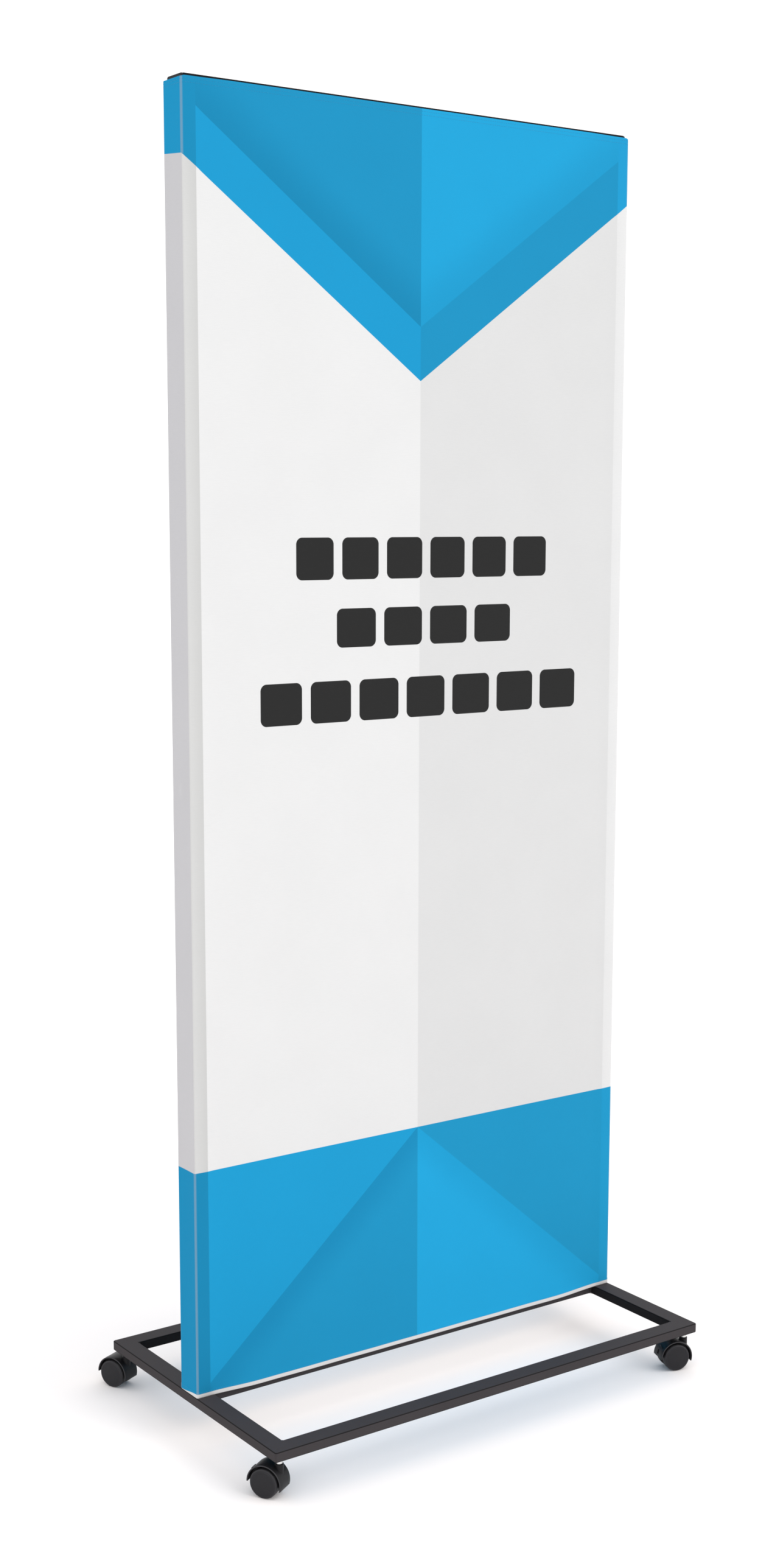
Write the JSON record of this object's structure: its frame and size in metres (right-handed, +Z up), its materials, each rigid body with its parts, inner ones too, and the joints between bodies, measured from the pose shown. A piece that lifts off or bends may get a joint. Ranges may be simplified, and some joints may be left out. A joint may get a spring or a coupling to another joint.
{
  "type": "mobile fabric banner stand",
  "caption": "Tall double-sided printed fabric banner stretched over an upright tube frame, standing on a rectangular tube base that rolls on hooded twin-wheel swivel casters.",
  "frame": {"origin": "on the floor, under the centre of the base frame", "axes": "+X along the banner to the right seen from the front, +Y to the back, +Z up; -Y is the banner's front"},
  "size_m": [0.8408, 0.5142, 1.9445],
  "materials": {
    "powder_coat": "satin black powder coat with a fine orange peel",
    "cap_plastic": "moulded matt black",
    "hood_plastic": "moulded black nylon, satin",
    "wheel_plastic": "moulded dark grey nylon, matt with fine turning marks",
    "zinc": "bright zinc-plated steel",
    "grip_tape": "black hook-and-loop tape",
    "cover_cloth": "printed stretch polyester: plain blue and off-white fields, fine knit"
  },
  "bodies": {
    "stand": {"front_rail": "powder_coat", "rear_rail": "powder_coat", "left_rail": "powder_coat", "right_rail": "powder_coat", "crossbar": "powder_coat", "left_post": "powder_coat", "right_post": "powder_coat", "top_rail": "powder_coat", "foot_rail": "powder_coat", "middle_brace": "powder_coat", "left_cap": "cap_plastic", "right_cap": "cap_plastic", "left_foot_block": "zinc", "left_washer": "zinc", "left_bolt": "zinc", "left_post_front_tape": "grip_tape", "left_post_rear_tape": "grip_tape", "left_post_side_tape": "grip_tape", "right_foot_block": "zinc", "right_washer": "zinc", "right_bolt": "zinc", "right_post_front_tape": "grip_tape", "right_post_rear_tape": "grip_tape", "right_post_side_tape": "grip_tape", "top_front_tape": "grip_tape", "top_rear_tape": "grip_tape", "foot_front_tape": "grip_tape", "foot_rear_tape": "grip_tape", "front_banner": "cover_cloth", "rear_banner": "cover_cloth", "left_gusset": "cover_cloth", "right_gusset": "cover_cloth", "front_left_nut_plate": "zinc", "front_left_stem": "zinc", "rear_left_nut_plate": "zinc", "rear_left_stem": "zinc", "front_right_nut_plate": "zinc", "front_right_stem": "zinc", "rear_right_nut_plate": "zinc", "rear_right_stem": "zinc"},
    "front_left_caster": {"front_left_hood": "hood_plastic", "front_left_axle": "zinc"},
    "front_left_wheel_a": {"front_left_wheel_a": "wheel_plastic"},
    "front_left_wheel_b": {"front_left_wheel_b": "wheel_plastic"},
    "rear_left_caster": {"rear_left_hood": "hood_plastic", "rear_left_axle": "zinc"},
    "rear_left_wheel_a": {"rear_left_wheel_a": "wheel_plastic"},
    "rear_left_wheel_b": {"rear_left_wheel_b": "wheel_plastic"},
    "front_right_caster": {"front_right_hood": "hood_plastic", "front_right_axle": "zinc"},
    "front_right_wheel_a": {"front_right_wheel_a": "wheel_plastic"},
    "front_right_wheel_b": {"front_right_wheel_b": "wheel_plastic"},
    "rear_right_caster": {"rear_right_hood": "hood_plastic", "rear_right_axle": "zinc"},
    "rear_right_wheel_a": {"rear_right_wheel_a": "wheel_plastic"},
    "rear_right_wheel_b": {"rear_right_wheel_b": "wheel_plastic"}
  },
  "joints": [
    {"name": "front_left_swivel", "type": "hinge", "parent": "stand", "child": "front_left_caster", "pos_m": [-0.385, -0.225, 0.0494], "axis": [0, 0, 1], "continuous": true},
    {"name": "front_left_roll_a", "type": "hinge", "parent": "front_left_caster", "child": "front_left_wheel_a", "pos_m": [-0.39368, -0.21015, 0.0215], "axis": [-0.8634, -0.5045, 0], "continuous": true},
    {"name": "front_left_roll_b", "type": "hinge", "parent": "front_left_caster", "child": "front_left_wheel_b", "pos_m": [-0.39368, -0.21015, 0.0215], "axis": [-0.8634, -0.5045, 0], "continuous": true},
    {"name": "rear_left_swivel", "type": "hinge", "parent": "stand", "child": "rear_left_caster", "pos_m": [-0.385, 0.225, 0.0494], "axis": [0, 0, 1], "continuous": true},
    {"name": "rear_left_roll_a", "type": "hinge", "parent": "rear_left_caster", "child": "rear_left_wheel_a", "pos_m": [-0.39208, 0.24068, 0.0215], "axis": [-0.9114, -0.4115, 0], "continuous": true},
    {"name": "rear_left_roll_b", "type": "hinge", "parent": "rear_left_caster", "child": "rear_left_wheel_b", "pos_m": [-0.39208, 0.24068, 0.0215], "axis": [-0.9114, -0.4115, 0], "continuous": true},
    {"name": "front_right_swivel", "type": "hinge", "parent": "stand", "child": "front_right_caster", "pos_m": [0.385, -0.225, 0.0494], "axis": [0, 0, 1], "continuous": true},
    {"name": "front_right_roll_a", "type": "hinge", "parent": "front_right_caster", "child": "front_right_wheel_a", "pos_m": [0.36871, -0.21949, 0.0215], "axis": [-0.3206, -0.9472, 0], "continuous": true},
    {"name": "front_right_roll_b", "type": "hinge", "parent": "front_right_caster", "child": "front_right_wheel_b", "pos_m": [0.36871, -0.21949, 0.0215], "axis": [-0.3206, -0.9472, 0], "continuous": true},
    {"name": "rear_right_swivel", "type": "hinge", "parent": "stand", "child": "rear_right_caster", "pos_m": [0.385, 0.225, 0.0494], "axis": [0, 0, 1], "continuous": true},
    {"name": "rear_right_roll_a", "type": "hinge", "parent": "rear_right_caster", "child": "rear_right_wheel_a", "pos_m": [0.3936, 0.2399, 0.0215], "axis": [-0.866, 0.5, 0], "continuous": true},
    {"name": "rear_right_roll_b", "type": "hinge", "parent": "rear_right_caster", "child": "rear_right_wheel_b", "pos_m": [0.3936, 0.2399, 0.0215], "axis": [-0.866, 0.5, 0], "continuous": true}
  ]
}
